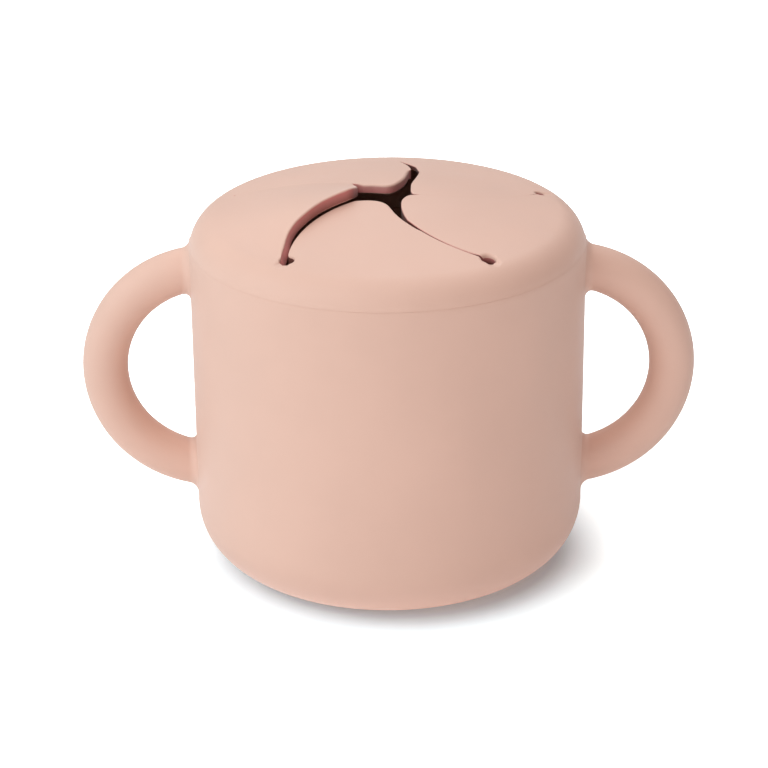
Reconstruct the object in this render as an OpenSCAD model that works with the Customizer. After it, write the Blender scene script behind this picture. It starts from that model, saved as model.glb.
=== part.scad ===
/* [Cup] */
// Outside radius of the cup wall
cup_r = 44; // [38:0.5:52]
// Height of the cup's rim, where the lid sits
rim_z = 74.8; // [66:0.1:95]
// Thickness of the cup wall
wall_t = 2.6; // [2:0.1:3.6]
// Thickness of the cup floor
floor_t = 3; // [2:0.1:5]
// Outside radius of the corner between wall and base
base_round_r = 12.9; // [6:0.1:16]

/* [Handles] */
// Radius of the ring that each handle's centreline follows
handle_ring_r = 24; // [20:0.5:25]
// Radius of the handle's round bar
handle_bar_r = 5.1; // [3.8:0.1:6]
// How far each ring's centre lies inside the cup's outer wall
handle_inset = 4; // [2:0.5:8]
// Distance from the top of the handle's upper root to the rim
handle_drop = 1.8; // [1:0.1:4]

/* [Lid] */
// Radius of the rounded shoulder around the lid
shoulder_r = 7.5; // [6.5:0.1:8.5]
// How far below the rim the shoulder starts to round over
shoulder_drop = 1.4; // [0.8:0.1:2]
// Height of the lid's crown above the rim
crown_h = 10; // [8.6:0.1:11]
// Thickness of the lid's domed sheet and of its flaps
sheet_t = 2.2; // [1.8:0.1:2.6]
// Gap between the lid and the cup's rim
seam_gap = 0.2; // [0.1:0.05:0.4]
// How deep the lid's plug ring reaches into the cup
plug_depth = 7.2; // [5:0.1:10]
// Thickness of the plug ring
plug_t = 2; // [1.6:0.1:3]
// How far each sealing rib stands out from the plug ring
rib_h = 0.4; // [0.2:0.05:0.8]
// Gap between the sealing ribs and the cup's wall
rib_gap = 0.3; // [0.2:0.05:0.5]

/* [Flaps] */
// Radius of the circle that the slit-end holes lie on
hole_ring_r = 36.4; // [34:0.1:37]
// Radius of each slit-end hole
hole_r = 1.3; // [1:0.1:1.6]
// How far each slit bows away from its straight chord
slit_bow = 5.5; // [4.5:0.1:6.5]
// Width of each slit
slit_gap = 0.5; // [0.45:0.05:0.8]
// Radius of the rounded flap tips
tip_r = 7; // [5:0.1:8]
// Distance of the flaps' bending lines from the lid's axis
hinge_r = 27; // [25.5:0.1:27.4]
// Angle at which the left flap stands above the dome
left_tilt = 6.5; // [0:0.5:8]

/* [Hidden] */
$fn = 96;

// Silicone's blush pink, and the deeper shade of the flaps
shell_colour = [0.88, 0.74, 0.67];
flap_colour = [0.84, 0.68, 0.62];
eps = 0.01;

// Outline that the closed cup and lid share: wall, shoulder and dome, all tangent
shoulder_z = rim_z - shoulder_drop;
shoulder_x = cup_r - shoulder_r;
crown_z = rim_z + crown_h;
crown_lift = crown_z - shoulder_z;
dome_r = (crown_lift * crown_lift + shoulder_x * shoulder_x - shoulder_r * shoulder_r)
         / (2 * (crown_lift - shoulder_r));
dome_z = crown_z - dome_r;
dome_edge_x = shoulder_x * dome_r / (dome_r - shoulder_r);

// Cup and plug ring
inner_r = cup_r - wall_t;
inner_round_r = max(base_round_r - wall_t, 1);
plug_r = inner_r - rib_gap - rib_h;
plug_inner_r = plug_r - plug_t;
rib_count = 2;
rib_pitch = plug_depth / (rib_count + 1);
ceiling_round_r = 3;
round_lift = 0.02;  // raises the ceiling's rounding a little, so that it crosses the dome

// Handles
handle_x = cup_r - handle_inset;
handle_z = rim_z - handle_drop - handle_bar_r
           - sqrt(handle_ring_r * handle_ring_r - handle_inset * handle_inset);

// Five flaps, parted by slits that bow from the middle out to the holes
flap_count = 5;
flap_turn = 360 / flap_count;
half_turn = flap_turn / 2;
first_hole_turn = 234;
slit_turn = 2 * atan(slit_bow / (hole_ring_r / 2));
slit_r = hole_ring_r / (2 * sin(slit_turn));

// Bending lines: the bead at each flap's root turns in a round seat in the ring
bead_r = sheet_t + 0.1;
bead_gap = 0.3;
corner_depth = 2;
hinge_z = sqrt(dome_r * dome_r - hinge_r * hinge_r) + dome_z - sheet_t / 2;

// Centre of a slit's circle in the frame of a flap whose middle lies on +X,
// for the slit on its clockwise side (-1) or its anticlockwise side (1)
function turned(p, a) = [p[0] * cos(a) - p[1] * sin(a), p[0] * sin(a) + p[1] * cos(a)];
function slit_centre(side) =
    turned([hole_ring_r / 2, slit_r * cos(slit_turn)], side * half_turn);

// Where the circles of radius ra about a and rb about b cross, left of the way from a to b
function crossing(a, ra, b, rb) =
    let (d = norm(b - a), u = (b - a) / d, m = (ra * ra - rb * rb + d * d) / (2 * d))
    a + u * m + [-u[1], u[0]] * sqrt(ra * ra - m * m);

inner_edge = slit_centre(-1);
outer_edge = slit_centre(1);
inner_edge_r = slit_r - slit_gap / 2;  // the slit's two walls stand half its width
outer_edge_r = slit_r + slit_gap / 2;  // to each side of its middle line
tip_cross = 0.15;  // the tip's arc is this much larger, so that it crosses the slit edges
tip = crossing(inner_edge, inner_edge_r - tip_r, outer_edge, outer_edge_r + tip_r);
tip_start = inner_edge + (tip - inner_edge) * inner_edge_r / (inner_edge_r - tip_r);
tip_end = outer_edge + (tip - outer_edge) * outer_edge_r / (outer_edge_r + tip_r);
corner_x = hinge_r - corner_depth;
corner_y = outer_edge[1]
           - sqrt(outer_edge_r * outer_edge_r - pow(corner_x - outer_edge[0], 2));

// ---- Shared outline ----

// Half section of the closed container, filled to its axis
module closed_section() {
    translate([0, base_round_r]) square([cup_r, shoulder_z - base_round_r]);
    square([cup_r - base_round_r, base_round_r + eps]);
    intersection() {
        translate([cup_r - base_round_r, base_round_r]) circle(base_round_r);
        square([cup_r, base_round_r + eps]);
    }
    intersection() {
        translate([shoulder_x, shoulder_z]) circle(shoulder_r);
        translate([shoulder_x, shoulder_z - eps]) square([shoulder_r, crown_lift]);
    }
    intersection() {
        translate([0, dome_z]) circle(dome_r, $fn = 720);
        translate([0, shoulder_z - eps]) square([dome_edge_x, crown_lift + 1]);
    }
}

module closed_outline() { rotate_extrude() closed_section(); }

// ---- Cup ----

module cup_section() {
    difference() {
        closed_section();
        translate([-eps, rim_z]) square([cup_r + 1, crown_h + 1]);
        translate([-eps, floor_t + inner_round_r]) square([inner_r + eps, crown_z]);
        translate([-eps, floor_t]) square([inner_r - inner_round_r + eps, inner_round_r + 1]);
        translate([inner_r - inner_round_r, floor_t + inner_round_r]) circle(inner_round_r);
    }
}

module cup_shell() { color(shell_colour) rotate_extrude() cup_section(); }

// ---- Handles ----

// Part of a round ring, upright in the XZ plane, that stands outside the cup
module handle() {
    color(shell_colour) difference() {
        translate([handle_x, 0, handle_z]) rotate([90, 0, 0]) rotate_extrude()
            translate([handle_ring_r, 0]) circle(handle_bar_r);
        closed_outline();
    }
}

module handle_right() { handle(); }
module handle_left() { mirror([1, 0, 0]) handle(); }

// ---- Lid ----

// Hollow under the lid, with a rounded corner where its ceiling meets the plug ring
module lid_hollow_section() {
    ceiling_r = dome_r - sheet_t;
    round_x = plug_inner_r - ceiling_round_r;
    round_z = sqrt(pow(ceiling_r - ceiling_round_r, 2) - round_x * round_x) + dome_z + round_lift;
    meet_x = round_x * ceiling_r / (ceiling_r - ceiling_round_r);
    intersection() {
        translate([0, dome_z]) circle(ceiling_r, $fn = 720);
        union() {
            translate([-eps, rim_z - plug_depth - 1])
                square([plug_inner_r + eps, round_z - rim_z + plug_depth + 1]);
            translate([-eps, round_z - eps]) square([meet_x + eps, crown_h]);
            translate([round_x, round_z]) circle(ceiling_round_r);
        }
    }
}

module lid_section() {
    difference() {
        union() {
            intersection() {
                closed_section();
                translate([0, rim_z + seam_gap]) square([cup_r + 1, crown_h + 1]);
            }
            translate([plug_inner_r, rim_z - plug_depth])
                square([plug_t, plug_depth + seam_gap + 1]);
            for (i = [1 : rib_count])
                translate([plug_r, rim_z - i * rib_pitch]) circle(rib_h);
        }
        lid_hollow_section();
    }
}

// Plan of the room that one flap and its two slits take up, with the flap's middle on +X
module flap_room() {
    difference() {
        intersection() {
            translate(inner_edge) circle(outer_edge_r, $fn = 360);
            translate([-cup_r, -cup_r]) square([cup_r + hinge_r, cup_r + corner_y + bead_gap]);
        }
        translate(outer_edge) circle(inner_edge_r, $fn = 360);
    }
}

// Plan of one slit's outer end, from beside the bending line to its end hole
module slit_end() {
    start_x = corner_x - corner_depth;
    intersection() {
        difference() {
            translate(outer_edge) circle(outer_edge_r, $fn = 360);
            translate(outer_edge) circle(inner_edge_r, $fn = 360);
        }
        translate([start_x, 0]) square([hole_ring_r - start_x, hole_ring_r * sin(half_turn)]);
    }
    rotate(half_turn) translate([hole_ring_r, 0]) circle(hole_r);
}

// Round bar about a flap's bending line
module bead(radius, end_gap) {
    translate([hinge_r, -cup_r, hinge_z]) rotate([-90, 0, 0])
        cylinder(r = radius, h = cup_r + corner_y + end_gap);
}

module lid_ring() {
    color(shell_colour) difference() {
        rotate_extrude() lid_section();
        for (i = [0 : flap_count - 1]) rotate(first_hole_turn + half_turn + i * flap_turn) {
            translate([0, 0, rim_z]) linear_extrude(crown_h + 1) {
                flap_room();
                slit_end();
            }
            intersection() {
                bead(bead_r + bead_gap, bead_gap);
                translate([0, 0, rim_z]) linear_extrude(crown_h + 1)
                    translate(inner_edge) circle(outer_edge_r, $fn = 360);
            }
        }
    }
}

// ---- Flaps ----

module domed_sheet() {
    rotate_extrude() intersection() {
        translate([0, dome_z]) difference() {
            circle(dome_r, $fn = 720);
            circle(dome_r - sheet_t, $fn = 720);
        }
        translate([0, rim_z]) square([hole_ring_r, crown_h + 1]);
    }
}

// Plan of one flap inside its bending line: two slit edges that meet in a round tip
module flap_outline() {
    difference() {
        intersection() {
            translate(inner_edge) circle(inner_edge_r, $fn = 360);
            translate([-cup_r, -cup_r]) square([cup_r + hinge_r, cup_r + corner_y]);
        }
        translate(outer_edge) circle(outer_edge_r, $fn = 360);
        difference() {
            polygon([tip_start, tip_start - tip, tip_end - tip, tip_end]);
            translate(tip) circle(tip_r + tip_cross);
        }
    }
}

// One flap, its middle turned to the given hole and its tip raised by the given tilt
module flap(index, tilt) {
    color(flap_colour) rotate(first_hole_turn + half_turn + index * flap_turn)
        translate([hinge_r, 0, hinge_z]) rotate([0, tilt, 0]) translate([-hinge_r, 0, -hinge_z])
            difference() {
                intersection() {
                    domed_sheet();
                    union() {
                        translate([0, 0, rim_z]) linear_extrude(crown_h + 1) flap_outline();
                        intersection() {
                            bead(bead_r, 0);
                            translate([0, 0, rim_z]) linear_extrude(crown_h + 1)
                                translate(inner_edge) circle(inner_edge_r, $fn = 360);
                        }
                    }
                }
                rotate(-half_turn) translate([hole_ring_r, 0, rim_z])
                    cylinder(r = hole_r, h = crown_h + 1);
            }
}

module flap_front() { flap(0, 0); }
module flap_right() { flap(1, 0); }
module flap_back_right() { flap(2, 0); }
module flap_back_left() { flap(3, 0); }
module flap_left() { flap(4, left_tilt); }

cup_shell();
handle_left();
handle_right();
lid_ring();
flap_front();
flap_right();
flap_back_right();
flap_back_left();
flap_left();
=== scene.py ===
import math

import bpy
import numpy as np
from mathutils import Euler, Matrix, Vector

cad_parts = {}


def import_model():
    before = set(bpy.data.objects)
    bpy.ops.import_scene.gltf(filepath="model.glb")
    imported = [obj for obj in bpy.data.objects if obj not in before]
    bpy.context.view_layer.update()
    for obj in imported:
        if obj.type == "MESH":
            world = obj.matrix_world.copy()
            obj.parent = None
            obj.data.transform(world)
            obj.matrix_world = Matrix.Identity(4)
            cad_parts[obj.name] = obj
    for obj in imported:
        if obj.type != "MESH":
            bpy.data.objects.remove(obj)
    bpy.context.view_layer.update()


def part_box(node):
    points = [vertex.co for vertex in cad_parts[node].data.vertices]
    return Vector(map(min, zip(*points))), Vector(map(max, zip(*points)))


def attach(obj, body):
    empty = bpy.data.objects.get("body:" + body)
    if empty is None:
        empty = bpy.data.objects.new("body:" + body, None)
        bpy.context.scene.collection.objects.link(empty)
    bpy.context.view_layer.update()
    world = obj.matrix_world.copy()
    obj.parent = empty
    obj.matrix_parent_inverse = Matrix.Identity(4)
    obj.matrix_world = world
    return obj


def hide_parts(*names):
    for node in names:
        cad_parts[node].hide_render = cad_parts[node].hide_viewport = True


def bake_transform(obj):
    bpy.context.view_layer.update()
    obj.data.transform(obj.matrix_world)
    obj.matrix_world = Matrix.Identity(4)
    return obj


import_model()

MM = 0.001  # sizes and the skins' points are in millimetres, as in the CAD part; Blender works in metres

# ---- Sizes that the CAD part has ----
CUP_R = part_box("cup_shell")[1].x / MM
RIM_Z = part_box("cup_shell")[1].z / MM
WALL_T = 2.6
FLOOR_T = 3.0
BASE_ROUND_R = 12.9
HANDLE_RING_R = 24.0
HANDLE_BAR_R = 5.1
HANDLE_X = CUP_R - 4.0
HANDLE_Z = (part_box("handle_right")[0].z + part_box("handle_right")[1].z) / 2 / MM
SHOULDER_R = 7.5
SHOULDER_X = CUP_R - SHOULDER_R
SHOULDER_Z = RIM_Z - 1.4
DOME_R = 180.251
DOME_Z = RIM_Z + 10.0 - DOME_R
SHEET_T = 2.2
PLUG_DEPTH = 7.2
PLUG_R = 40.7
PLUG_INNER_R = 38.7
RIB_H = 0.4
CEILING_ROUND_R = 3.0
SLIT_R = 32.8627
FLAP_HALF_TURN = 36

# ---- Sizes of the looks ----
RIM_EDGE_R = 0.1         # rounding of the rim's edges
PLUG_EDGE_R = 0.7        # rounding of the plug ring's lower edges
SEAM_GAP = 0.01          # the lid rests on the rim, with next to no gap
SEAM_LIP = 0.1           # how far the lid's lower edge flares out past the rim
SEAM_LIP_TURN = 2.5      # degrees of the shoulder's circle that the flare takes up
FLANGE_EDGE_R = 0.05     # rounding of the lid's lower edge
FLANGE_CORNER_R = 0.3    # rounding where the plug ring meets the flange
ROOT_FILLET_R = 2.0      # where the handles flow into the cup
ROOT_SINK = 0.008        # how far that fillet ends below the cup's face
ROOT_DIP = 0.8           # how deep the handles' end rings lie in the cup's wall
FLAP_REACH_R = 39.6      # the flaps' skins run out to this circle, past the holes
HOLE_RING_R = 36.1       # the holes' widened mouths lie a little inside the CAD part's ring of 36.4
HOLE_WALL_E = 0.08       # edge rounding round the holes
WIDENING_REACH = 3.0     # a slit widens over about this distance from its hole
CROWDED_REACH = 3.0      # this far from its ends a flap's edge has its points close together
PROUD_R = 32.0           # inside this circle a flap's tip rises proud of the dome
RAISED_R = (20.0, 37.6)  # a raised flap rises fully inside the first circle, not at all past the second
UNDER_EDGE = 0.6         # rounding of a flap's lower edge, as a share of the upper edge's
WALL_SHADE = 0.5         # painted shade: how much darker a slit's wall is painted at its foot than at its top
FULL_TONE_E = 0.02       # from this edge rounding on a slit's wall has its full painted shade
CREASE_ANGLE = 38        # edges that turn by more degrees than this are drawn sharp
STEPS_ROUND = 360
CUP_STEPS_ROUND = 300
BAR_STEPS_ROUND = 72
FREE_EDGE_POINTS = 330

# ---- Colours, as linear red, green and blue ----
SILICONE = (0.70, 0.45, 0.36)
SILICONE_PAINTED_GLOW_SHADE = (0.68, 0.25, 0.235)   # painted shade and reddish glow on a slit's wall, standing in for light scattered in the silicone
SILICONE_PAINTED_SHADOW = (0.13, 0.043, 0.030)  # painted shadow at the wall's darkest parts
TABLE_SEEN = (0.73, 0.90, 1.00), (1.75, 1.92, 1.95)    # as the camera sees it: darker and cooler near the container, a painted shadow, and overlit away
TABLE_BOUNCE = (1.52, 1.60, 1.66), (0.94, 0.95, 0.96)  # as it lights the container, near and away; near it throws back more than it gets, painted bounce light

# ---- The table, in metres ----
# centre of the painted shadow round the container, set a little to the right
SHADOW_CENTRE = (0.002, 0, 0)
SHADOW_FADE = (0.0373, 0.0535)  # distances from there between which TABLE_SEEN changes over, the edge of the painted shadow
BOUNCE_FADE = (0.038, 0.050)    # and TABLE_BOUNCE
BASE_CLEARANCE = 0.002          # shorter rays than this, from the container's base, pass through the table
TABLE_HALF = 4


# ---- Curves ----

def arc(cx, cy, r, start, end, count):
    """Points cx + r cos t, cy + r sin t, for count values of t from start to end degrees, both included."""
    t = np.radians(np.linspace(start, end, count))
    return np.stack([cx + r * np.cos(t), cy + r * np.sin(t)], -1)


def rounded(corners, closed=False, turn_step=6.0):
    """Path through corners (x, y, radius): an arc of each corner's radius, tangent to both of its sides.
    The arc's points are centre + radius (v0 sin(S - t) + v1 sin t) / sin S, with t from 0 to the turn S."""
    corners = np.asarray(corners, float)
    place, radius = corners[:, :2], corners[:, 2]
    out = []
    for k in range(len(place)):
        if radius[k] <= 0 or (not closed and k in (0, len(place) - 1)):
            out.append(place[k][None])
            continue
        back = place[k - 1] - place[k]
        ahead = place[(k + 1) % len(place)] - place[k]
        back, ahead = back / np.linalg.norm(back), ahead / np.linalg.norm(ahead)
        half = math.acos(float(np.clip(back @ ahead, -1, 1))) / 2
        middle = (back + ahead) / np.linalg.norm(back + ahead)
        centre = place[k] + middle * radius[k] / math.sin(half)
        v0 = place[k] + back * radius[k] / math.tan(half) - centre
        v1 = place[k] + ahead * radius[k] / math.tan(half) - centre
        turn = math.pi - 2 * half
        t = np.linspace(0, turn, max(4, math.ceil(math.degrees(turn) / turn_step) + 1))[:, None]
        out.append(centre + (v0 * np.sin(turn - t) + v1 * np.sin(t)) / math.sin(turn))
    return np.concatenate(out)


def filled(path, closed=False, longest=1.6):
    """The path with points added on its long straight runs, at (1 - cos) spacing so that they crowd to the
    ends."""
    path = np.concatenate([path, path[:1]]) if closed else path
    out = []
    for p, q in zip(path[:-1], path[1:]):
        length = np.linalg.norm(q - p)
        count = 1 if length < longest else math.ceil(length / longest) + 5
        t = (1 - np.cos(np.linspace(0, math.pi, count + 1)[:-1]))[:, None] / 2
        out.append(p + (q - p) * t)
    return np.concatenate(out if closed else out + [path[-1:]])


def along(path):
    """Distance from the path's start to each of its points."""
    return np.concatenate([[0], np.cumsum(np.linalg.norm(np.diff(path, axis=0), axis=1))])


def at_distance(path, where):
    """Points of the path at the given distances from its start, by linear interpolation."""
    s = along(path)
    return np.stack([np.interp(where, s, path[:, i]) for i in range(path.shape[1])], -1)


def through(points, count=24):
    """Catmull-Rom curve through points: p1 + t (p2 - p0) / 2 + t^2 (2 p0 - 5 p1 + 4 p2 - p3) / 2
    + t^3 (3 p1 - p0 - 3 p2 + p3) / 2 between each p1 and p2. It leaves out the first and the last point."""
    p = np.asarray(points, float)
    p0, p1, p2, p3 = (p[i:len(p) - 3 + i, None] for i in range(4))
    t = np.linspace(0, 1, count, endpoint=False)[None, :, None]
    bend = (p1 + t * (p2 - p0) / 2 + t ** 2 * (2 * p0 - 5 * p1 + 4 * p2 - p3) / 2
            + t ** 3 * (3 * p1 - p0 - 3 * p2 + p3) / 2)
    return np.concatenate([bend.reshape(-1, p.shape[1]), p[-2:-1]])


def eased(x):
    """Smooth step 3 x^2 - 2 x^3, held at 0 below 0 and at 1 above 1."""
    x = np.clip(x, 0, 1)
    return x * x * (3 - 2 * x)


# ---- Surfaces ----

def skin(name, grid, material, loop=False, **tones):
    """Closed surface over a grid of points P[i, j] in millimetres. Four-sided faces join P[i, j], P[i+1, j],
    P[i+1, j+1] and P[i, j+1]; i runs round, and with loop j does too. Without it a fan from the mean of
    the end ring closes each end. tones are values for each point, kept as attributes of the mesh."""
    n, m = grid.shape[:2]
    i = np.arange(n)[:, None]
    j = np.arange(m if loop else m - 1)[None]
    i2, j2 = (i + 1) % n, (j + 1) % m
    quads = np.stack(np.broadcast_arrays(i * m + j, i2 * m + j, i2 * m + j2, i * m + j2), -1).reshape(-1, 4)
    points = grid.reshape(-1, 3)
    fans = np.zeros((0, 3), int)
    if not loop:
        k = np.arange(n)
        k2 = (k + 1) % n
        fans = np.concatenate([
            np.stack([k2 * m, k * m, np.full(n, n * m)], -1),
            np.stack([k * m + m - 1, k2 * m + m - 1, np.full(n, n * m + 1)], -1)])
        points = np.concatenate([points, grid[:, 0].mean(0)[None], grid[:, -1].mean(0)[None]])
    a, b, c, d = (points[quads[:, q]] for q in range(4))
    e, f, g = (points[fans[:, q]] for q in range(3))
    volume = ((a * np.cross(b, c)).sum() + (a * np.cross(c, d)).sum() + (e * np.cross(f, g)).sum()) / 6
    if volume < 0:
        quads, fans = quads[:, ::-1], fans[:, ::-1]
    mesh = bpy.data.meshes.new(name)
    mesh.vertices.add(len(points))
    mesh.vertices.foreach_set("co", (points * MM).astype(np.float32).ravel())
    corners = np.concatenate([quads.ravel(), fans.ravel()])
    mesh.loops.add(len(corners))
    mesh.loops.foreach_set("vertex_index", corners.astype(np.int32))
    starts = np.concatenate([np.arange(len(quads)) * 4, len(quads) * 4 + np.arange(len(fans)) * 3])
    mesh.polygons.add(len(starts))
    mesh.polygons.foreach_set("loop_start", starts.astype(np.int32))
    mesh.update(calc_edges=True)
    mesh.polygons.foreach_set("use_smooth", np.ones(len(starts), bool))
    mesh.set_sharp_from_angle(angle=math.radians(CREASE_ANGLE))
    place = mesh.attributes.new("rest_place", "FLOAT_VECTOR", "POINT")
    place.data.foreach_set("vector", (points * MM).astype(np.float32).ravel())
    for key, value in tones.items():
        value = np.concatenate([np.asarray(value, float).ravel(), np.zeros(len(points) - n * m)])
        mesh.attributes.new(key, "FLOAT", "POINT").data.foreach_set("value", value.astype(np.float32))
    mesh.materials.append(material)
    piece = bpy.data.objects.new(name, mesh)
    bpy.context.scene.collection.objects.link(piece)
    return piece


def turned_round(section, count=STEPS_ROUND):
    """Surface of revolution P(a, s) = (r(s) cos a, r(s) sin a, z(s)) of the section's points (r, z)."""
    a = np.radians(np.arange(count) * 360 / count)[:, None]
    r, z = section[:, 0][None], section[:, 1][None]
    return np.stack(np.broadcast_arrays(r * np.cos(a), r * np.sin(a), z), -1)


# ---- Cup ----

def cup_section():
    """Half section of the cup: flat base, rounded corner, straight wall, the start of the shoulder's circle
    up to the rim, then down the inner wall and across the floor, with rounded rim edges."""
    shoulder = arc(SHOULDER_X, SHOULDER_Z, SHOULDER_R, 0, 8, 5)
    rim_r = SHOULDER_X + math.sqrt(SHOULDER_R ** 2 - (RIM_Z - SHOULDER_Z) ** 2)
    inner_r = CUP_R - WALL_T
    corners = [(0.5, 0, 0), (CUP_R, 0, BASE_ROUND_R)]
    corners += [(x, z, 0) for x, z in shoulder]
    corners += [(rim_r, RIM_Z, RIM_EDGE_R), (inner_r, RIM_Z, RIM_EDGE_R),
                (inner_r, FLOOR_T, BASE_ROUND_R - WALL_T), (0.5, FLOOR_T, 0)]
    return filled(rounded(corners, turn_step=3.5))


def cup(material):
    piece = skin("cup_skin", turned_round(cup_section(), CUP_STEPS_ROUND), material)
    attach(piece, "cup")
    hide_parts("cup_shell")


# ---- Handles ----

def handle_grid(side):
    """Round bar along the handle's ring, C(p) = (x + R cos p, z + R sin p) in the XZ plane, with the
    generator at angle t at G = C + r (u(p) cos t + y sin t), where u is the ring's outward direction. It
    ends p_end(t) round the ring, where G meets the cup's cylinder. The last stretch F of it turns out along
    the wall: G at F (1 - sin q) short of the wall, moved F (1 - cos q) along the wall's tangent, for q from
    0 to 90 degrees. One more ring dips into the wall."""
    t = np.radians(np.arange(BAR_STEPS_ROUND) * 360 / BAR_STEPS_ROUND)[:, None]
    ring = HANDLE_RING_R + HANDLE_BAR_R * np.cos(t)
    y = HANDLE_BAR_R * np.sin(t)
    wall_x = np.sqrt(CUP_R ** 2 - y ** 2)
    p_end = np.arccos((wall_x - HANDLE_X) / ring)

    def bar(p):
        x, z = HANDLE_X + ring * np.cos(p), HANDLE_Z + ring * np.sin(p)
        return np.stack(np.broadcast_arrays(x, y, z), -1)

    p_start = p_end - ROOT_FILLET_R / ring
    middle = bar(p_start * np.linspace(-1, 1, 121)[None])
    q = np.radians(np.linspace(0, 90, 13)[1:])[None]
    across = np.cos(t) * np.cos(p_end), np.sin(t), np.cos(t) * np.sin(p_end)
    out = np.stack(np.broadcast_arrays(*across), -1)
    foot = bar(p_end)
    wall = foot * [1, 1, 0] / CUP_R
    tangent = out - (out * wall).sum(-1, keepdims=True) * wall
    tangent /= np.linalg.norm(tangent, axis=-1, keepdims=True)
    moved = foot + tangent * (ROOT_FILLET_R * (1 - np.cos(q)))[..., None]
    sunk = CUP_R - ROOT_SINK * (q / math.radians(90))[..., None] ** 2
    moved[..., :2] *= sunk / np.linalg.norm(moved[..., :2], axis=-1, keepdims=True)
    upper = bar(p_end - ROOT_FILLET_R * (1 - np.sin(q)) / ring) + moved - foot
    dipped = upper[:, -1:] * [1 - ROOT_DIP / CUP_R, 1 - ROOT_DIP / CUP_R, 1]
    upper = np.concatenate([upper, dipped], 1)
    lower = upper[:, ::-1] * [1, 1, -1] + [0, 0, 2 * HANDLE_Z]
    return np.concatenate([lower, middle, upper], 1) * [side, 1, 1]


def handles(material):
    for name, node, side in (("left_handle_skin", "handle_left", -1),
                             ("right_handle_skin", "handle_right", 1)):
        piece = skin(name, handle_grid(side), material)
        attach(piece, "cup")
        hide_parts(node)


# ---- Lid ----

def dome_top(r):
    """Height of the lid's upper face at the distance r from the axis: on the dome's circle, then on the
    shoulder's."""
    meet = SHOULDER_X * DOME_R / (DOME_R - SHOULDER_R)
    beside = np.clip(r - SHOULDER_X, 0, SHOULDER_R)
    return np.where(r < meet, DOME_Z + np.sqrt(DOME_R ** 2 - r ** 2),
                    SHOULDER_Z + np.sqrt(SHOULDER_R ** 2 - beside ** 2))


def dome_under(r):
    """Height of the dome's lower face at the distance r from the axis; past the start of the ceiling's
    corner it follows that corner's arc."""
    corner_x = PLUG_INNER_R - CEILING_ROUND_R
    inner = DOME_R - SHEET_T
    corner_z = DOME_Z + math.sqrt((inner - CEILING_ROUND_R) ** 2 - corner_x ** 2)
    meet = corner_x * inner / (inner - CEILING_ROUND_R)
    beside = np.clip(r - corner_x, 0, CEILING_ROUND_R)
    return np.where(r < meet, DOME_Z + np.sqrt(inner ** 2 - r ** 2),
                    corner_z + np.sqrt(CEILING_ROUND_R ** 2 - beside ** 2))


def lid_section():
    """Closed half section of the lid outside the flaps: the lower edge, which flares out at the seam, the
    shoulder's circle as far as the flaps' skins, down into the ceiling's corner, the plug ring with its two
    ribs, and out along the flange."""
    flange_z = RIM_Z + SEAM_GAP
    start = math.degrees(math.asin((flange_z - SHOULDER_Z) / SHOULDER_R))
    finish = math.degrees(math.acos((FLAP_REACH_R - SHOULDER_X) / SHOULDER_R))
    shoulder = arc(SHOULDER_X, SHOULDER_Z, SHOULDER_R, start + SEAM_LIP_TURN, finish, 28)
    edge_r = SHOULDER_X + SHOULDER_R * math.cos(math.radians(start)) + SEAM_LIP
    under_r = np.array([FLAP_REACH_R, PLUG_INNER_R])
    corners = [(edge_r, flange_z, FLANGE_EDGE_R)] + [(x, z, 0) for x, z in shoulder]
    corners += [(x, z, 0) for x, z in zip(under_r, dome_under(under_r))]
    plug_z = RIM_Z - PLUG_DEPTH
    corners += [(PLUG_INNER_R, plug_z, PLUG_EDGE_R), (PLUG_R, plug_z, PLUG_EDGE_R)]
    for k in (2, 1):
        rib = arc(PLUG_R, RIM_Z - k * PLUG_DEPTH / 3, RIB_H, -90, 90, 9)
        corners += [(x, z, 0) for x, z in rib]
    corners += [(PLUG_R, flange_z, FLANGE_CORNER_R)]
    return filled(rounded(corners, closed=True), closed=True)


def lid(material):
    piece = skin("lid_skin", turned_round(lid_section()), material, loop=True)
    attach(piece, "lid")
    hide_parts("lid_ring")


# ---- Flaps ----

# Centres of the circles that a flap's two slits follow, in the flap's frame with its middle on +X
CLOCKWISE_SLIT = np.array([30.8075, 11.4392])
ANTICLOCKWISE_SLIT = np.array([-1.3593, 32.8346])
FAN_CENTRE = np.array([35.0, 0.0])
HOLE_PLACE = HOLE_RING_R * np.array([math.cos(math.radians(FLAP_HALF_TURN)),
                                     math.sin(math.radians(FLAP_HALF_TURN))])

# The holes at the slits' ends: radius, width of the rounded rim, how much the slit widens towards the hole,
# and how dark the hole's wall is painted, a painted shade
OPEN_HOLE = (1.5, 0.75, 0.3, 1.3)
OF_RAISED = (1.6, 0.5, 0.2, 0.9)
BESIDE_RAISED = (1.6, 0.5, 0.2, 2.1)
SMALL_HOLE = (1.15, 0.4, 0.12, 1.2)
SHUT_HOLE = (0.2, 0.0, 0.0, 1.0)
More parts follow.
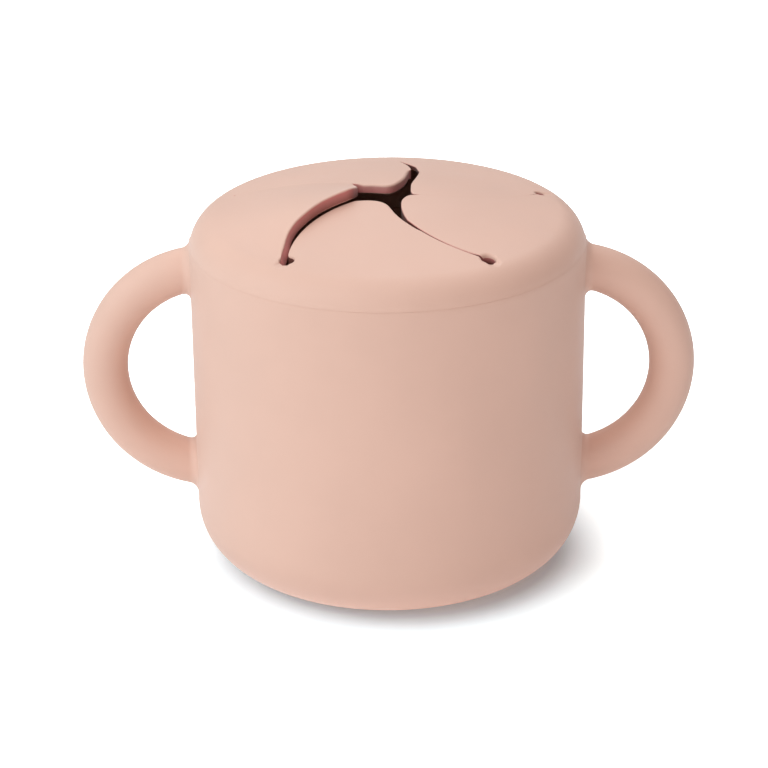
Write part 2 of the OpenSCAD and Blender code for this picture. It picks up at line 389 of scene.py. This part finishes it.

# For each flap: name and angle of its middle; how far its tip stands proud of the dome, how far its
# anticlockwise side is raised, how much thicker the sheet is there, and how far the wall of its
# anticlockwise slit slants out on its way down; how dark its wall is painted between the holes, a painted
# shade; for its anticlockwise and its clockwise slit the hole, the distance of the edge from the slit's
# middle line and the edge rounding; the rounding round the tip; and the points in plan, with the flap's
# middle on +X, that the edge passes through from one slit, round the tip, to the other
FLAPS = [
    ("front", 270, (0.5, 0.0, 0.0, 0.0), 1.0, (OPEN_HOLE, 0.17, 0.18), (BESIDE_RAISED, 0.12, 0.25), 0.3,
     [(19.0, 6.6), (16.4, 4.6), (13.7, 2.9), (11.2, 1.7), (8.6, 0.8), (6.3, -0.1), (4.6, -1.7),
      (3.85, -3.8), (3.75, -5.9)]),
    ("right", 342, (0.9, 0.0, 0.0, 0.0), 2.0, (SMALL_HOLE, 0.004, 0.025), (OPEN_HOLE, 0.17, 0.35), 0.35,
     [(6.3, 0.5), (5.2, 0.05), (4.6, -1.4), (4.5, -3.4), (5.0, -5.6), (6.0, -8.2), (7.2, -10.5),
      (8.6, -12.6)]),
    ("back_right", 54, (0.9, 0.0, -1.3, 0.0), 2.0, (SHUT_HOLE, 0.01, 0.03), (SMALL_HOLE, 0.004, 0.025), 0.3,
     [(26.6, 15.3), (25.7, 12.9), (24.4, 10.5), (23.1, 8.6), (20.6, 6.3), (19.0, 4.8), (17.2, 3.7),
      (13.7, 1.9), (10.4, 0.4), (8.2, -0.7), (5.6, -2.4), (3.6, -3.9), (2.75, -5.2)]),
    ("back_left", 126, (0.9, 0.0, 0.0, 0.0), 0.7, (SHUT_HOLE, 0.01, 0.03), (SHUT_HOLE, 0.01, 0.03), 0.6,
     [(8.9, 1.25), (7.6, 0.65), (6.1, -0.8), (4.4, -2.1), (3.6, -3.2), (3.7, -4.8), (5.1, -7.4),
      (6.8, -9.7), (8.6, -11.6), (12.4, -15.2)]),
    ("left", 198, (0.9, 2.9, 0.6, 0.98), 1.1, (OF_RAISED, 1.05, 0.6), (SHUT_HOLE, 0.01, 0.03), 0.5,
     [(28.1, 15.95), (26.95, 13.8), (25.8, 12.2), (23.7, 10.1), (21.2, 8.3), (17.1, 5.2), (13.1, 3.3),
      (10.1, 2.2), (8.2, 0.8), (6.9, -1.3), (5.8, -3.4), (5.1, -5.7), (5.1, -7.8)]),
]


def slit_side(centre, radius, hole, start, stop, gap, widening, count=300):
    """A slit's edge: centre + (radius + g) (cos t, sin t) with t from start to stop degrees. g is the gap,
    which grows by widening exp(-(d / WIDENING_REACH)^2) at the distance d from the hole."""
    t = np.radians(np.linspace(start, stop, count))
    ray = np.stack([np.cos(t), np.sin(t)], -1)
    d = np.linalg.norm(centre + radius * ray - hole, axis=1)
    return centre + (radius + gap + widening * np.exp(-(d / WIDENING_REACH) ** 2))[:, None] * ray


def turn_about(centre, p):
    """Angle of the point p about centre, in degrees."""
    return math.degrees(math.atan2(p[1] - centre[1], p[0] - centre[0]))


def flap_edge(side_on, side_off, points):
    """Free edge of a flap in plan, from its anticlockwise hole round its tip to its clockwise hole: part of
    each hole's circle, the two slit edges, and a Catmull-Rom curve between them through points. Returns the
    edge and the distances along it at which its parts meet."""
    hole_on, hole_off = HOLE_PLACE, HOLE_PLACE * [1, -1]
    (radius_on, _, wide_on, _), gap_on, _ = side_on
    (radius_off, _, wide_off, _), gap_off, _ = side_off

    # headings in which the two slits leave their holes, square to the slit circles' radii there, and half
    # the angle that each slit's mouth takes up of its hole; a mouth is never wider than 0.9 of the hole
    leave_on = turn_about(ANTICLOCKWISE_SLIT, hole_on) - 90
    leave_off = turn_about(CLOCKWISE_SLIT, hole_off) - 90 + 360
    mouth_on = math.degrees(math.asin(min(0.9, (gap_on + wide_on) / radius_on)))
    mouth_off = math.degrees(math.asin(min(0.9, (gap_off + wide_off) / radius_off)))
    notch_on = arc(*hole_on, radius_on, FLAP_HALF_TURN, leave_on + mouth_on, 60)
    notch_off = arc(*hole_off, radius_off, leave_off - mouth_off, -FLAP_HALF_TURN, 80)

    # each slit's edge ends a little short of the point next to it, and the curve joins the two edges
    short = 0.04
    start = turn_about(ANTICLOCKWISE_SLIT, notch_on[-1])
    stop = turn_about(ANTICLOCKWISE_SLIT, points[0])
    stop += (start - stop) * short
    edge_on = slit_side(ANTICLOCKWISE_SLIT, SLIT_R, hole_on, start, stop, gap_on, wide_on)
    start = turn_about(CLOCKWISE_SLIT, points[-1])
    stop = turn_about(CLOCKWISE_SLIT, notch_off[0])
    start += (stop - start) * short
    edge_off = slit_side(CLOCKWISE_SLIT, SLIT_R, hole_off, start, stop, -gap_off, -wide_off)
    curve = through([edge_on[-8], edge_on[-1], *points, edge_off[0], edge_off[7]])
    path = np.concatenate([notch_on[:-1], edge_on[:-1], curve[1:-1], edge_off, notch_off[1:]])
    s = along(path)
    joins = s[[len(notch_on) - 1, len(notch_on) + len(edge_on) - 2, -len(edge_off) - len(notch_off) + 1,
               -len(notch_off)]]
    step = 0.05
    even = at_distance(path, np.linspace(0, s[-1], round(s[-1] / step)))
    return smoothed(even, 5), joins


def smoothed(path, spread):
    """The path smoothed with the weights exp(-k^2 / (2 spread^2)); its ends stay where they are, because it
    is first carried on past them, turned half round about each end."""
    reach = 3 * spread
    k = np.arange(-reach, reach + 1)
    weight = np.exp(-k ** 2 / (2 * spread ** 2))
    weight /= weight.sum()
    longer = np.concatenate([2 * path[0] - path[reach:0:-1], path, 2 * path[-1] - path[-2:-reach - 2:-1]])
    return np.stack([np.convolve(longer[:, i], weight, "valid") for i in range(2)], -1)


def flap_outline(wall_painted_shade, side_on, side_off, tip_e, points):
    """Closed plan outline of a flap's skin: the circle FLAP_REACH_R at one-degree steps, then the free edge,
    which crowds its points at the holes. It comes with three values for each point: the edge's rounding, 1
    along the anticlockwise slit and 0 elsewhere, with slopes between, and how dark the wall is painted, a
    painted shade."""
    edge, joins = flap_edge(side_on, side_off, points)
    s = along(edge)
    near = np.minimum(s, s[-1] - s)
    spacing = 0.14 + 0.3 * eased((near - CROWDED_REACH) / CROWDED_REACH)
    density = 1 / spacing
    count = np.concatenate([[0], np.cumsum((density[1:] + density[:-1]) / 2 * np.diff(s))])
    where = np.interp(np.linspace(0, count[-1], FREE_EDGE_POINTS), count, s)
    free = at_distance(edge, where)
    outer = arc(0, 0, FLAP_REACH_R, -FLAP_HALF_TURN, FLAP_HALF_TURN, 2 * FLAP_HALF_TURN + 1)
    outline = np.concatenate([outer, free])
    e_on, e_off = side_on[2], side_off[2]
    # the rounding changes over short stretches where one part of the edge meets the next
    hole_e = HOLE_WALL_E
    knots = [0, 0.6, joins[0], joins[0] + 2.5, joins[1], joins[1] + 2,
             joins[2] - 2, joins[2], joins[3] - 2.5, joins[3], s[-1] - 0.6, s[-1]]
    sizes = [0, hole_e, hole_e, e_on, e_on, tip_e, tip_e, e_off, e_off, hole_e, hole_e, 0]
    rounding = np.concatenate([np.zeros(len(outer)), np.interp(where, np.maximum.accumulate(knots), sizes)])
    beside_on = np.concatenate([np.zeros(len(outer)),
                                np.interp(where, [0, joins[0], joins[1], joins[1] + 12], [0, 1, 1, 0])])
    # painted shade of the wall: each hole's own at its end, the flap's own between them
    shade = np.interp(where, [joins[0], joins[0] + 1.5, joins[3] - 1.5, joins[3]],
                      [side_on[0][3], wall_painted_shade, wall_painted_shade, side_off[0][3]])
    shade = np.concatenate([np.ones(len(outer)), shade])
    # seen from the fan's centre the outline only ever turns one way, so that no two spokes cross
    spoke = outline - FAN_CENTRE
    reach = np.linalg.norm(spoke, axis=1)
    turn = np.unwrap(np.arctan2(spoke[:, 1], spoke[:, 0]))
    least_turn = 1e-4
    least = np.arange(len(turn)) * least_turn
    half = len(turn) // 2
    turn[:half] = np.maximum.accumulate(turn[:half] - least[:half]) + least[:half]
    turn[half:] = np.minimum.accumulate((turn[half:] - least[half:])[::-1])[::-1] + least[half:]
    outline = FAN_CENTRE + reach[:, None] * np.stack([np.cos(turn), np.sin(turn)], -1)
    return outline, rounding, beside_on, shade


def raised(x, y):
    """How far a raised flap rises at each point, from 0 to 1: (1 - e^1.5) v^1.5, where e eases from 0 to 1
    between the circles RAISED_R and v runs from 0 at the flap's clockwise slit to 1 at the other one."""
    off = np.clip(SLIT_R - np.hypot(x - CLOCKWISE_SLIT[0], y - CLOCKWISE_SLIT[1]), 0, None)
    on = np.clip(np.hypot(x - ANTICLOCKWISE_SLIT[0], y - ANTICLOCKWISE_SLIT[1]) - SLIT_R, 0, None)
    inside = 1 - eased((np.hypot(x, y) - RAISED_R[0]) / (RAISED_R[1] - RAISED_R[0])) ** 1.5
    return inside * (off / (off + on + 1e-6)) ** 1.5


def rim_dip(x, y, side_on, side_off):
    """Fall of the top face round the two holes: w (1 - sqrt(1 - t^2)), where t grows from 0 to 1 across the
    width w of the hole's rounded rim."""
    dip = 0
    for (radius, w, _, _), place in ((side_on[0], HOLE_PLACE), (side_off[0], HOLE_PLACE * [1, -1])):
        if w > 0:
            t = np.clip((radius + w - np.hypot(x - place[0], y - place[1])) / w, 0, 1)
            dip = dip + w * (1 - np.sqrt(1 - t * t))
    return dip


def flap_grid(turn, rise, wall_painted_shade, side_on, side_off, tip_e, points):
    """Closed skin of one flap, P(a, b), and its painted shade at each point. a runs round its outline O(a)
    in plan. b runs from the fan's centre S on the under face out to the outline, up the slit's wall and back
    over the top face to S: the faces are S + s (O - n e - S) with n the outline's outward normal and e the
    rounding, and each rounding is O - n e (1 - cos q) at e (1 - sin q) from its face. Where the wall slants,
    the under face's O lies further out than the top face's."""
    proud, lift, thicker, slant = rise
    outline, top_e, beside_on, shade = flap_outline(wall_painted_shade, side_on, side_off, tip_e, points)
    ahead = np.roll(outline, -1, 0) - np.roll(outline, 1, 0)
    normal = np.stack([ahead[:, 1], -ahead[:, 0]], -1) / np.linalg.norm(ahead, axis=1)[:, None]
    under_e = UNDER_EDGE * top_e

    # shares of the way from the fan's centre to the outline, closer together near the outline
    s = np.concatenate([np.linspace(0.004, 0.86, 26), np.linspace(0.88, 0.996, 20)])[None, :, None]
    q = np.radians(np.linspace(0, 90, 8))[None]

    def face(edge, e):
        inset = edge - normal * e[:, None]
        return FAN_CENTRE + s * (inset[:, None] - FAN_CENTRE)

    def lip(edge, e):
        return edge[:, None] - normal[:, None] * (e[:, None] * (1 - np.cos(q)))[..., None]

    def lip_depth(e):
        return e[:, None] * (1 - np.sin(q))

    none = np.zeros((len(outline), s.shape[1]))
    foot = outline + normal * (slant * beside_on)[:, None]
    under = np.concatenate([face(foot, under_e), lip(foot, under_e)], 1)
    over = np.concatenate([face(outline, top_e), lip(outline, top_e)], 1)
    # q = 0 is where a lip meets the wall and 90 degrees where it meets its face
    under_depth = np.concatenate([none, lip_depth(under_e)], 1)
    over_depth = np.concatenate([none, lip_depth(top_e)], 1)
    order = np.concatenate([np.arange(s.shape[1]), s.shape[1] + np.arange(q.shape[1])[::-1]])
    under, over = under[:, order], over[:, order]
    under_depth, over_depth = under_depth[:, order], over_depth[:, order]

    def height(plan, base, lift):
        """base(r) + proud (1 - (r / PROUD_R)^2)^2 + lift raised(x, y)."""
        x, y = plan[..., 0], plan[..., 1]
        r = np.hypot(x, y)
        return base(r) + proud * np.clip(1 - (r / PROUD_R) ** 2, 0, 1) ** 2 + lift * raised(x, y)

    low = height(under, dome_under, lift - thicker) + under_depth
    high = height(over, dome_top, lift) - over_depth
    high = high - rim_dip(over[..., 0], over[..., 1], side_on, side_off)
    low = np.concatenate([under, low[..., None]], -1)
    high = np.concatenate([over, high[..., None]], -1)[:, ::-1]
    k = np.linspace(0, 1, 8)[None, 1:-1, None]
    wall = low[:, -1:] + (high[:, :1] - low[:, -1:]) * k
    grid = np.concatenate([low, wall, high], 1)

    # painted shade and glow of a slit's wall, not the silicone's own colour: 0 on both faces, 1 at the top
    # of the wall and darker still at its foot; an edge without rounding has none
    inner = np.zeros((1, s.shape[1]))
    lip_painted_shade = (1 - np.sin(q)) ** 3
    painted_shade = np.concatenate([inner, (1 + WALL_SHADE) * lip_painted_shade[:, ::-1], 1 + WALL_SHADE * (1 - k[..., 0]),
                           lip_painted_shade, inner], 1)
    painted_shade = painted_shade * (eased(top_e / FULL_TONE_E) * shade)[:, None]

    a = math.radians(turn)
    x, y = grid[..., 0].copy(), grid[..., 1].copy()
    grid[..., 0] = x * math.cos(a) - y * math.sin(a)
    grid[..., 1] = x * math.sin(a) + y * math.cos(a)
    return grid, painted_shade


def flaps(material):
    for name, turn, *shape in FLAPS:
        grid, painted_shade = flap_grid(turn, *shape)
        piece = skin(f"{name}_flap_skin", grid, material, slit_wall=painted_shade)
        node = f"flap_{name}"
        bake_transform(piece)
        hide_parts(node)


# ---- Materials ----

def node_group(name, inputs, outputs):
    """An empty shader node group with the given (name, type) inputs and outputs, and its two end nodes."""
    group = bpy.data.node_groups.new(name, "ShaderNodeTree")
    for way, sockets in (("INPUT", inputs), ("OUTPUT", outputs)):
        for label, kind in sockets:
            group.interface.new_socket(label, in_out=way, socket_type=kind)
    return group, group.nodes.new("NodeGroupInput"), group.nodes.new("NodeGroupOutput")


def add(tree, kind, label=None, **settings):
    """A node of the given kind; each setting is a property of the node, or else the value of an input."""
    made = tree.nodes.new(kind)
    if label:
        made.label = label
    for key, value in settings.items():
        if hasattr(made, key):
            setattr(made, key, value)
        else:
            made.inputs[key.replace("_", " ")].default_value = value
    return made


# The Mix node's sockets for each kind of data: inputs A and B, and the output
MIX_SOCKETS = {"VECTOR": (4, 5, 1), "RGBA": (6, 7, 2)}


def mix(tree, kind, share, a, b):
    """Output of a Mix node that goes from a to b with the output share; a and b are outputs or constants."""
    made = add(tree, "ShaderNodeMix", data_type=kind)
    first, second, result = MIX_SOCKETS[kind]
    tree.links.new(share, made.inputs["Factor"])
    for value, socket in ((a, made.inputs[first]), (b, made.inputs[second])):
        if isinstance(value, bpy.types.NodeSocket):
            tree.links.new(value, socket)
        else:
            socket.default_value = value
    return made.outputs[result]


def silicone_tones_and_painted_shade():
    """Node group: a soft clouding of the colour, a fine grain for the bump and a slow drift of the
    roughness, all from the place of the point at rest, and the painted shade of the slits' walls. Its
    shade input 0 gives the colour SILICONE, 1 the wall's painted glow and shade and 2 its painted shadow."""
    group, given, result = node_group(
        "silicone_tones_and_painted_shade",
        [("Place", "NodeSocketVector"), ("Depth", "NodeSocketFloat")],
        [("Colour", "NodeSocketColor"), ("Roughness", "NodeSocketFloat"), ("Height", "NodeSocketFloat")])
    link = group.links.new

    def noise(label, **settings):
        made = add(group, "ShaderNodeTexNoise", label, **settings)
        link(given.outputs["Place"], made.inputs["Vector"])
        return made.outputs["Fac"]

    def ranged(value, low, high):
        """The noise's usual range, 0.3 to 0.7, brought to low to high."""
        made = add(group, "ShaderNodeMapRange", From_Min=0.3, From_Max=0.7, To_Min=low, To_Max=high)
        link(value, made.inputs["Value"])
        return made.outputs["Result"]

    toned = add(group, "ShaderNodeVectorMath", operation="SCALE")
    toned.inputs[0].default_value = SILICONE
    clouding = noise("clouding", Scale=38.0, Detail=3.0, Roughness=0.55)
    link(ranged(clouding, 0.975, 1.025), toned.inputs["Scale"])
    # painted light on a slit's wall: towards the reddish glow and shade, then past 1 towards painted shadow
    painted_glow = mix(group, "RGBA", given.outputs["Depth"], toned.outputs["Vector"], (*SILICONE_PAINTED_GLOW_SHADE, 1))
    painted_shadow_part = add(group, "ShaderNodeMath", "painted shadow share", operation="SUBTRACT", use_clamp=True)
    link(given.outputs["Depth"], painted_shadow_part.inputs[0])
    painted_shadow_part.inputs[1].default_value = 1.0
    link(mix(group, "RGBA", painted_shadow_part.outputs["Value"], painted_glow, (*SILICONE_PAINTED_SHADOW, 1)), result.inputs["Colour"])
    link(ranged(noise("polish drift", Scale=150.0, Detail=2.0), 0.46, 0.54), result.inputs["Roughness"])
    total = add(group, "ShaderNodeMath", operation="MULTIPLY_ADD")
    link(noise("slow swell", Scale=90.0, Detail=1.0), total.inputs[0])
    total.inputs[1].default_value = 3.0
    link(noise("moulded grain", Scale=2600.0, Detail=2.0), total.inputs[2])
    link(total.outputs["Value"], result.inputs["Height"])
    return group


def silicone(name, tones):
    """Satin silicone: one shader whose colour, roughness and bump come from the shared group."""
    material = bpy.data.materials.new(name)
    material.use_nodes = True
    tree = material.node_tree
    link = tree.links.new
    shader = tree.nodes["Principled BSDF"]
    place = add(tree, "ShaderNodeAttribute", attribute_name="rest_place")
    # painted shade of the slits' walls, kept on the flaps' meshes
    wall = add(tree, "ShaderNodeAttribute", attribute_name="slit_wall")
    group = add(tree, "ShaderNodeGroup", node_tree=tones)
    link(place.outputs["Vector"], group.inputs["Place"])
    link(wall.outputs["Fac"], group.inputs["Depth"])
    link(group.outputs["Colour"], shader.inputs["Base Color"])
    link(group.outputs["Roughness"], shader.inputs["Roughness"])
    bump = add(tree, "ShaderNodeBump", Strength=0.25, Distance=0.00004)
    link(group.outputs["Height"], bump.inputs["Height"])
    link(bump.outputs["Normal"], shader.inputs["Normal"])
    shader.inputs["IOR"].default_value = 1.43
    shader.inputs["Sheen Weight"].default_value = 0.12
    shader.inputs["Sheen Roughness"].default_value = 0.4
    return material


# ---- Surroundings ----

def floor():
    """White table. The camera sees it brighter away from the container, so that only the shadow close to the
    container shows, and darker and cooler close to it, a painted shadow added to the real one; the light
    that it throws back up is brighter near the container, painted bounce light. It lets through what comes
    from below it, and the short rays that come from the container's base."""
    material = bpy.data.materials.new("white_table")
    material.use_nodes = True
    tree = material.node_tree
    tree.nodes.clear()
    link = tree.links.new
    out = add(tree, "ShaderNodeOutputMaterial")
    path = add(tree, "ShaderNodeLightPath")
    side = add(tree, "ShaderNodeNewGeometry")
    place = add(tree, "ShaderNodeTexCoord")
    away = add(tree, "ShaderNodeVectorMath", operation="DISTANCE")
    link(place.outputs["Object"], away.inputs[0])
    away.inputs[1].default_value = SHADOW_CENTRE

    def changing(fade, colours):
        """The first of the colours up to the distance fade[0], the second from fade[1] on."""
        share = add(tree, "ShaderNodeMapRange", From_Min=fade[0], From_Max=fade[1])
        link(away.outputs["Value"], share.inputs["Value"])
        return mix(tree, "VECTOR", share.outputs["Result"], *colours)

    white = add(tree, "ShaderNodeBsdfDiffuse")
    # to the camera a painted shadow close to the container; to other rays painted bounce light near it
    link(mix(tree, "VECTOR", path.outputs["Is Camera Ray"], changing(BOUNCE_FADE, TABLE_BOUNCE),
             changing(SHADOW_FADE, TABLE_SEEN)), white.inputs["Color"])
    close = add(tree, "ShaderNodeMath", "from the base", operation="LESS_THAN")
    link(path.outputs["Ray Length"], close.inputs[0])
    close.inputs[1].default_value = BASE_CLEARANCE
    through_it = add(tree, "ShaderNodeMath", operation="MAXIMUM")
    link(side.outputs["Backfacing"], through_it.inputs[0])
    link(close.outputs["Value"], through_it.inputs[1])
    clear = add(tree, "ShaderNodeBsdfTransparent")
    both = add(tree, "ShaderNodeMixShader")
    link(through_it.outputs["Value"], both.inputs[0])
    link(white.outputs[0], both.inputs[1])
    link(clear.outputs[0], both.inputs[2])
    link(both.outputs[0], out.inputs["Surface"])
    mesh = bpy.data.meshes.new("table")
    h = TABLE_HALF
    mesh.from_pydata([(-h, -h, 0), (h, -h, 0), (h, h, 0), (-h, h, 0)], [], [(0, 1, 2, 3)])
    mesh.materials.append(material)
    table = bpy.data.objects.new("table", mesh)
    bpy.context.scene.collection.objects.link(table)


# Large soft lights all round: azimuth (0 in front, 90 on the left) and height in degrees, sharpness,
# strength and colour. The left ones are a little cool and the front, top and bottom ones a little warm.
GLOWS = [
    (90, 10, 4, 0.72, (0.80, 1.08, 1.21)),
    (45, 8, 5, 1.08, (0.92, 1.03, 1.06)),
    (60, 40, 6, 0.72, (0.86, 1.05, 1.10)),
    (80, 35, 30, 1.12, (0.96, 1.02, 1.03)),
    (45, 55, 30, 0.80, (0.98, 1.00, 1.02)),
    (0, 10, 5, 0.96, (1.13, 0.93, 0.88)),
    (0, 90, 4, 1.20, (1.06, 0.98, 0.95)),
    (180, 45, 8, 1.85, (1.00, 1.00, 1.00)),
    (240, 30, 6, 0.20, (1.00, 1.00, 1.00)),
    (0, -90, 2, 1.05, (1.04, 0.98, 0.96)),
]


def world():
    """Plain white to the camera; for light, the sum over the GLOWS of colour * strength *
    max(0, d . g)^sharpness, where d is the ray's direction and g the glow's."""
    made = bpy.data.worlds.new("studio")
    made.use_nodes = True
    tree = made.node_tree
    tree.nodes.clear()
    link = tree.links.new
    out = add(tree, "ShaderNodeOutputWorld")
    path = add(tree, "ShaderNodeLightPath")
    way = add(tree, "ShaderNodeTexCoord")
    total = None
    for azimuth, height, sharpness, strength, colour in GLOWS:
        a, h = math.radians(azimuth), math.radians(height)
        centre = -math.sin(a) * math.cos(h), -math.cos(a) * math.cos(h), math.sin(h)
        facing = add(tree, "ShaderNodeVectorMath", operation="DOT_PRODUCT")
        facing.inputs[1].default_value = centre
        link(way.outputs["Generated"], facing.inputs[0])
        ahead = add(tree, "ShaderNodeMath", operation="MAXIMUM")
        ahead.inputs[1].default_value = 0
        link(facing.outputs["Value"], ahead.inputs[0])
        lobe = add(tree, "ShaderNodeMath", operation="POWER")
        lobe.inputs[1].default_value = sharpness
        link(ahead.outputs[0], lobe.inputs[0])
        summed = add(tree, "ShaderNodeVectorMath", operation="MULTIPLY_ADD")
        summed.inputs[1].default_value = [strength * part for part in colour]
        summed.inputs[2].default_value = (0, 0, 0)
        link(lobe.outputs[0], summed.inputs[0])
        if total:
            link(total.outputs[0], summed.inputs[2])
        total = summed
    glow = add(tree, "ShaderNodeBackground", Strength=1.0)
    link(total.outputs[0], glow.inputs["Color"])
    plain = add(tree, "ShaderNodeBackground", Color=(1, 1, 1, 1), Strength=1.0)
    both = add(tree, "ShaderNodeMixShader")
    link(path.outputs["Is Camera Ray"], both.inputs[0])
    link(glow.outputs[0], both.inputs[1])
    link(plain.outputs[0], both.inputs[2])
    link(both.outputs[0], out.inputs["Surface"])
    bpy.context.scene.world = made


def camera():
    """Long lens in front of the container, looking down at it from above the lid."""
    lens = bpy.data.cameras.new("camera")
    lens.lens = 124.0337
    lens.sensor_width = 36
    lens.clip_start, lens.clip_end = 0.05, 20
    made = bpy.data.objects.new("camera", lens)
    made.location = (0, -0.54993, 0.280949)
    made.rotation_euler = Euler((math.radians(66.29882), math.radians(0.483592), math.radians(-0.100735)))
    bpy.context.scene.collection.objects.link(made)
    bpy.context.scene.camera = made


def main():
    tones = silicone_tones_and_painted_shade()
    body = silicone("cup_silicone", tones)
    top = silicone("lid_silicone", tones)
    cup(body)
    handles(body)
    lid(top)
    flaps(top)
    floor()
    world()
    camera()
    bpy.context.scene.view_settings.view_transform = "Standard"


main()
